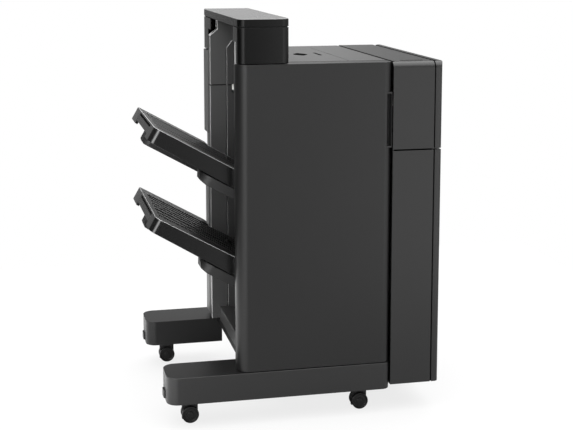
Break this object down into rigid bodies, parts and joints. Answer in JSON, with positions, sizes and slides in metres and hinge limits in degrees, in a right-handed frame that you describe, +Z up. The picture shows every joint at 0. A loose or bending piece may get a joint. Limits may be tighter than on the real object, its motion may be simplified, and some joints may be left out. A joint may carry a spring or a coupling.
{
  "type": "laser printer finisher",
  "caption": "Floor-standing stapling and stacking finisher for an office laser printer: tower on two caster legs with sloping lift trays, front door, top jam door and docking unit.",
  "frame": {"origin": "on the floor, at the middle of the footprint", "axes": "+Z up, +X towards the docking side that meets the printer, -Y towards the front door"},
  "size_m": [0.7526, 0.604, 1.04],
  "materials": {
    "charcoal_plastic": "charcoal moulded plastic, fine texture",
    "tray_plastic": "dark moulded plastic, fine texture",
    "inner_plastic": "black plastic",
    "steel": "zinc-plated sheet",
    "rubber": "black rubber",
    "wheel_plastic": "black nylon",
    "pale_nylon": "natural nylon",
    "green_plastic": "green touch-point plastic",
    "circuit_board": "green circuit board"
  },
  "bodies": {
    "frame": {"base_frame": "steel", "bay_sill": "charcoal_plastic", "bay_wall": "charcoal_plastic", "control_board": "circuit_board", "dock_frame": "steel", "dock_lower_cover": "charcoal_plastic", "dock_upper_cover": "charcoal_plastic", "drive_belt": "rubber", "exit_belt": "rubber", "drive_motor": "steel", "near_lift_rack": "steel", "far_lift_rack": "steel", "front_frame": "steel", "front_leg_beam": "steel", "front_leg_cover": "charcoal_plastic", "head_cap": "charcoal_plastic", "head_housing": "charcoal_plastic", "lower_end_panel": "charcoal_plastic", "near_post": "charcoal_plastic", "paper_guides": "steel", "rear_column": "charcoal_plastic", "rear_foot_beam": "steel", "rear_foot_cover": "charcoal_plastic", "rear_frame": "steel", "rear_leg_beam": "steel", "rear_leg_cover": "charcoal_plastic", "rear_panel": "charcoal_plastic", "stack_fence": "charcoal_plastic", "stapler_rail": "steel", "top_cover": "charcoal_plastic", "tower_side_plate": "charcoal_plastic", "upper_end_panel": "charcoal_plastic"},
    "front_door": {"front_door": "charcoal_plastic"},
    "top_door": {"top_door": "charcoal_plastic"},
    "upper_lift": {"upper_tray": "tray_plastic", "upper_tray_base": "tray_plastic"},
    "lower_lift": {"lower_tray": "tray_plastic", "lower_tray_base": "tray_plastic"},
    "upper_extension": {"upper_tray_extension": "charcoal_plastic"},
    "lower_extension": {"lower_tray_extension": "charcoal_plastic"},
    "upper_shaft": {"upper_lift_shaft": "pale_nylon"},
    "lower_shaft": {"lower_lift_shaft": "pale_nylon"},
    "entry_roller": {"entry_roller": "rubber"},
    "transport_roller": {"transport_roller": "rubber", "jam_knob": "green_plastic"},
    "exit_roller": {"exit_roller": "rubber"},
    "exit_idler": {"exit_idler": "rubber"},
    "motor_rotor": {"motor_pulley": "steel"},
    "stapler": {"stapler_unit": "inner_plastic"},
    "cartridge": {"staple_cartridge": "green_plastic"},
    "jam_lever": {"jam_lever": "green_plastic"},
    "stack_flag": {"stack_flag": "pale_nylon"},
    "swivel_front_left": {"caster_hood_front_left": "wheel_plastic"},
    "wheels_front_left": {"caster_wheels_front_left": "rubber"},
    "swivel_front_right": {"caster_hood_front_right": "wheel_plastic"},
    "wheels_front_right": {"caster_wheels_front_right": "rubber"},
    "swivel_rear_left": {"caster_hood_rear_left": "wheel_plastic"},
    "wheels_rear_left": {"caster_wheels_rear_left": "rubber"},
    "swivel_rear_right": {"caster_hood_rear_right": "wheel_plastic"},
    "wheels_rear_right": {"caster_wheels_rear_right": "rubber"}
  },
  "joints": [
    {"name": "front_door_hinge", "type": "hinge", "parent": "frame", "child": "front_door", "pos_m": [-0.15408, -0.264, 0.532], "axis": [0, 0, -1], "range_deg": [0, 110]},
    {"name": "top_door_hinge", "type": "hinge", "parent": "frame", "child": "top_door", "pos_m": [-0.01508, -0.015, 0.921], "axis": [0, -1, 0], "range_deg": [0, 75]},
    {"name": "upper_tray_lift", "type": "slide", "parent": "frame", "child": "upper_lift", "axis": [0, 0, 1], "range_m": [-0.06, 0.29]},
    {"name": "lower_tray_lift", "type": "slide", "parent": "frame", "child": "lower_lift", "axis": [0, 0, 1], "range_m": [-0.1, 0.06]},
    {"name": "upper_pinion_spin", "type": "hinge", "parent": "upper_lift", "child": "upper_shaft", "pos_m": [-0.06043, -0.052, 0.5603], "axis": [0, -1, 0], "range_deg": [-230, 1109]},
    {"name": "lower_pinion_spin", "type": "hinge", "parent": "lower_lift", "child": "lower_shaft", "pos_m": [-0.06043, -0.052, 0.3293], "axis": [0, -1, 0], "range_deg": [-383, 230]},
    {"name": "upper_extension_slide", "type": "slide", "parent": "upper_lift", "child": "upper_extension", "axis": [-0.8725, 0, 0.4886], "range_m": [0, 0.16]},
    {"name": "lower_extension_slide", "type": "slide", "parent": "lower_lift", "child": "lower_extension", "axis": [-0.8725, 0, 0.4886], "range_m": [0, 0.16]},
    {"name": "transport_roller_spin", "type": "hinge", "parent": "frame", "child": "transport_roller", "pos_m": [0.02692, -0.052, 0.8], "axis": [0, -1, 0], "continuous": true},
    {"name": "entry_roller_spin", "type": "hinge", "parent": "frame", "child": "entry_roller", "pos_m": [0.19692, -0.052, 0.8], "axis": [0, -1, 0], "continuous": true},
    {"name": "exit_roller_spin", "type": "hinge", "parent": "frame", "child": "exit_roller", "pos_m": [-0.06908, -0.052, 0.9575], "axis": [0, -1, 0], "continuous": true},
    {"name": "exit_idler_spin", "type": "hinge", "parent": "frame", "child": "exit_idler", "pos_m": [-0.06908, -0.052, 0.9821], "axis": [0, -1, 0], "continuous": true},
    {"name": "motor_spin", "type": "hinge", "parent": "frame", "child": "motor_rotor", "pos_m": [0.13692, 0.198, 0.7], "axis": [0, -1, 0], "continuous": true},
    {"name": "stapler_slide", "type": "slide", "parent": "frame", "child": "stapler", "axis": [0, 1, 0], "range_m": [-0.025, 0.23]},
    {"name": "cartridge_slide", "type": "slide", "parent": "stapler", "child": "cartridge", "axis": [1, 0, 0], "range_m": [0, 0.014]},
    {"name": "jam_lever_hinge", "type": "hinge", "parent": "frame", "child": "jam_lever", "pos_m": [0.03692, -0.24, 0.6], "axis": [0, -1, 0], "range_deg": [0, 40]},
    {"name": "stack_flag_hinge", "type": "hinge", "parent": "frame", "child": "stack_flag", "pos_m": [-0.09128, 0.1215, 0.829], "axis": [1, 0, 0], "range_deg": [-25, 25]},
    {"name": "swivel_front_left", "type": "hinge", "parent": "frame", "child": "swivel_front_left", "pos_m": [-0.27508, -0.243, 0.06], "axis": [0, 0, 1], "continuous": true},
    {"name": "wheel_spin_front_left", "type": "hinge", "parent": "swivel_front_left", "child": "wheels_front_left", "pos_m": [-0.28108, -0.243, 0.02197], "axis": [0, 1, 0], "continuous": true},
    {"name": "swivel_front_right", "type": "hinge", "parent": "frame", "child": "swivel_front_right", "pos_m": [0.17752, -0.243, 0.06], "axis": [0, 0, 1], "continuous": true},
    {"name": "wheel_spin_front_right", "type": "hinge", "parent": "swivel_front_right", "child": "wheels_front_right", "pos_m": [0.17152, -0.243, 0.02197], "axis": [0, 1, 0], "continuous": true},
    {"name": "swivel_rear_left", "type": "hinge", "parent": "frame", "child": "swivel_rear_left", "pos_m": [-0.27508, 0.243, 0.06], "axis": [0, 0, 1], "continuous": true},
    {"name": "wheel_spin_rear_left", "type": "hinge", "parent": "swivel_rear_left", "child": "wheels_rear_left", "pos_m": [-0.28108, 0.243, 0.02197], "axis": [0, 1, 0], "continuous": true},
    {"name": "swivel_rear_right", "type": "hinge", "parent": "frame", "child": "swivel_rear_right", "pos_m": [0.17752, 0.243, 0.06], "axis": [0, 0, 1], "continuous": true},
    {"name": "wheel_spin_rear_right", "type": "hinge", "parent": "swivel_rear_right", "child": "wheels_rear_right", "pos_m": [0.17152, 0.243, 0.02197], "axis": [0, 1, 0], "continuous": true}
  ],
  "couplings": [
    {"joint": "upper_pinion_spin", "follows": "upper_tray_lift", "rad_per_m": 66.667},
    {"joint": "lower_pinion_spin", "follows": "lower_tray_lift", "rad_per_m": 66.667},
    {"joint": "entry_roller_spin", "follows": "transport_roller_spin", "ratio": 1},
    {"joint": "exit_roller_spin", "follows": "transport_roller_spin", "ratio": 1},
    {"joint": "exit_idler_spin", "follows": "transport_roller_spin", "ratio": -1},
    {"joint": "motor_spin", "follows": "transport_roller_spin", "ratio": 1.75}
  ]
}
